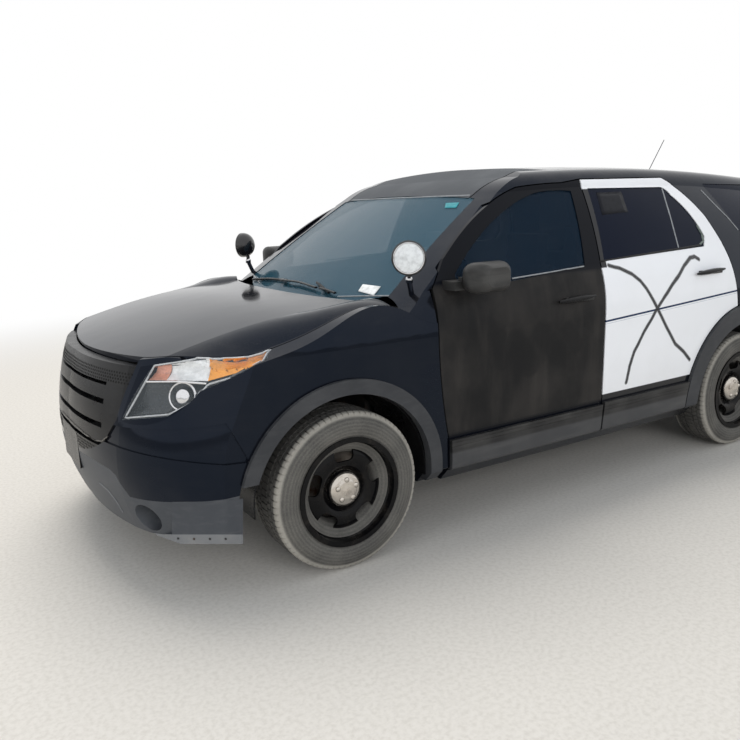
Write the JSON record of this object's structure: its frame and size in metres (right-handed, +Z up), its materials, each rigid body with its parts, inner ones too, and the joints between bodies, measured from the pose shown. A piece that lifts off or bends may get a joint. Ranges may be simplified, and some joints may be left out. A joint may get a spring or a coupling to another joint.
{
  "type": "patrol sport utility vehicle",
  "caption": "Full-size patrol utility vehicle with opening doors, bonnet and tailgate, steered front wheels and pillar spotlights",
  "frame": {"origin": "centre of the bounding box at the ground under the tyres", "axes": "+X to the front, +Y to the left, +Z up"},
  "size_m": [5.0129, 2.288, 1.9564],
  "materials": {
    "black_paint": "glossy black paint",
    "dusty_paint": "dull dusty black paint",
    "white_paint": "white paint",
    "grey_plastic": "weathered dark grey plastic",
    "black_plastic": "black plastic",
    "clear_glass": "clear glass",
    "tinted_glass": "dark tinted glass",
    "lamp": "clear headlamp cover over chrome",
    "red_lens": "red lens",
    "tyre": "dusty rubber",
    "steel_wheel": "black painted steel wheel with a bright cap",
    "chassis": "black chassis paint",
    "cast": "bare casting",
    "exhaust_metal": "dull exhaust steel",
    "fabric": "dark seat cloth",
    "chrome": "bright plating"
  },
  "bodies": {
    "body": {"body_side_left": "black_paint", "body_side_right": "black_paint", "roof_panel": "dusty_paint", "windscreen": "clear_glass", "quarter_glasses": "tinted_glass", "front_fender_left": "black_paint", "front_fender_right": "black_paint", "front_bumper": "black_paint", "front_valance": "grey_plastic", "plate_bracket": "grey_plastic", "grille": "black_plastic", "headlamps": "lamp", "arch_trims": "grey_plastic", "rear_bumper": "grey_plastic", "tail_lamps": "red_lens", "cowl": "black_plastic", "floor_pan": "chassis", "engine": "cast", "radiator": "black_plastic", "dashboard": "black_plastic", "front_seats": "fabric", "rear_bench": "fabric", "front_suspension": "chassis", "rear_suspension": "chassis", "wheel_liners": "grey_plastic", "fuel_tank": "chassis", "exhaust": "exhaust_metal"},
    "front_door_left": {"front_door_left": "dusty_paint", "front_door_glass_left": "clear_glass", "front_door_trim_left": "grey_plastic"},
    "rear_door_left": {"rear_door_left": "white_paint", "rear_door_glass_left": "tinted_glass", "rear_door_trim_left": "grey_plastic"},
    "front_door_right": {"front_door_right": "dusty_paint", "front_door_glass_right": "clear_glass", "front_door_trim_right": "grey_plastic"},
    "rear_door_right": {"rear_door_right": "white_paint", "rear_door_glass_right": "tinted_glass", "rear_door_trim_right": "grey_plastic"},
    "bonnet": {"bonnet": "black_paint"},
    "liftgate": {"liftgate": "black_paint", "liftgate_glass": "tinted_glass"},
    "knuckle_left": {"knuckle_left": "cast"},
    "knuckle_right": {"knuckle_right": "cast"},
    "steering_wheel": {"steering_wheel": "black_plastic"},
    "wheel_front_left": {"tyre_front_left": "tyre", "wheel_front_left": "steel_wheel"},
    "wheel_front_right": {"tyre_front_right": "tyre", "wheel_front_right": "steel_wheel"},
    "wheel_rear_left": {"tyre_rear_left": "tyre", "wheel_rear_left": "steel_wheel"},
    "wheel_rear_right": {"tyre_rear_right": "tyre", "wheel_rear_right": "steel_wheel"},
    "spotlight_left": {"spotlight_left": "chrome"},
    "spotlight_right": {"spotlight_right": "chrome"}
  },
  "joints": [
    {"name": "front_door_left_hinge", "type": "hinge", "parent": "body", "child": "front_door_left", "pos_m": [1.0755, 0.972, 0.8], "axis": [0, 0, -1], "range_deg": [0, 68]},
    {"name": "rear_door_left_hinge", "type": "hinge", "parent": "body", "child": "rear_door_left", "pos_m": [-0.006, 0.985, 0.8], "axis": [0, 0, -1], "range_deg": [0, 68]},
    {"name": "front_door_right_hinge", "type": "hinge", "parent": "body", "child": "front_door_right", "pos_m": [1.0755, -0.972, 0.8], "axis": [0, 0, 1], "range_deg": [0, 68]},
    {"name": "rear_door_right_hinge", "type": "hinge", "parent": "body", "child": "rear_door_right", "pos_m": [-0.006, -0.985, 0.8], "axis": [0, 0, 1], "range_deg": [0, 68]},
    {"name": "bonnet_hinge", "type": "hinge", "parent": "body", "child": "bonnet", "pos_m": [1.3, 0, 1.105], "axis": [0, -1, 0], "range_deg": [0, 50]},
    {"name": "liftgate_hinge", "type": "hinge", "parent": "body", "child": "liftgate", "pos_m": [-2.083, 0, 1.7], "axis": [0, 1, 0], "range_deg": [0, 85]},
    {"name": "steer_left", "type": "hinge", "parent": "body", "child": "knuckle_left", "pos_m": [1.563, 0.748, 0.2], "axis": [0, -0.1682, 0.9857], "range_deg": [-34, 34]},
    {"name": "steer_right", "type": "hinge", "parent": "body", "child": "knuckle_right", "pos_m": [1.563, -0.748, 0.2], "axis": [0, 0.1682, 0.9857], "range_deg": [-34, 34]},
    {"name": "spin_front_left", "type": "hinge", "parent": "knuckle_left", "child": "wheel_front_left", "pos_m": [1.563, 0.851, 0.358], "axis": [0, 1, 0], "continuous": true},
    {"name": "spin_front_right", "type": "hinge", "parent": "knuckle_right", "child": "wheel_front_right", "pos_m": [1.563, -0.851, 0.358], "axis": [0, 1, 0], "continuous": true},
    {"name": "spin_rear_left", "type": "hinge", "parent": "body", "child": "wheel_rear_left", "pos_m": [-1.297, 0.851, 0.358], "axis": [0, 1, 0], "continuous": true},
    {"name": "spin_rear_right", "type": "hinge", "parent": "body", "child": "wheel_rear_right", "pos_m": [-1.297, -0.851, 0.358], "axis": [0, 1, 0], "continuous": true},
    {"name": "spotlight_left_swivel", "type": "hinge", "parent": "body", "child": "spotlight_left", "pos_m": [1.172, 0.881, 1.337], "axis": [0, 0, 1], "range_deg": [-60, 60]},
    {"name": "spotlight_right_swivel", "type": "hinge", "parent": "body", "child": "spotlight_right", "pos_m": [1.172, -0.881, 1.337], "axis": [0, 0, 1], "range_deg": [-60, 60]},
    {"name": "steering_wheel_turn", "type": "hinge", "parent": "body", "child": "steering_wheel", "pos_m": [0.728, 0.39, 0.985], "axis": [-0.9063, 0, 0.4226], "range_deg": [-510, 510]}
  ],
  "couplings": [
    {"joint": "steer_right", "follows": "steer_left", "ratio": 1},
    {"joint": "steering_wheel_turn", "follows": "steer_left", "ratio": 15}
  ]
}
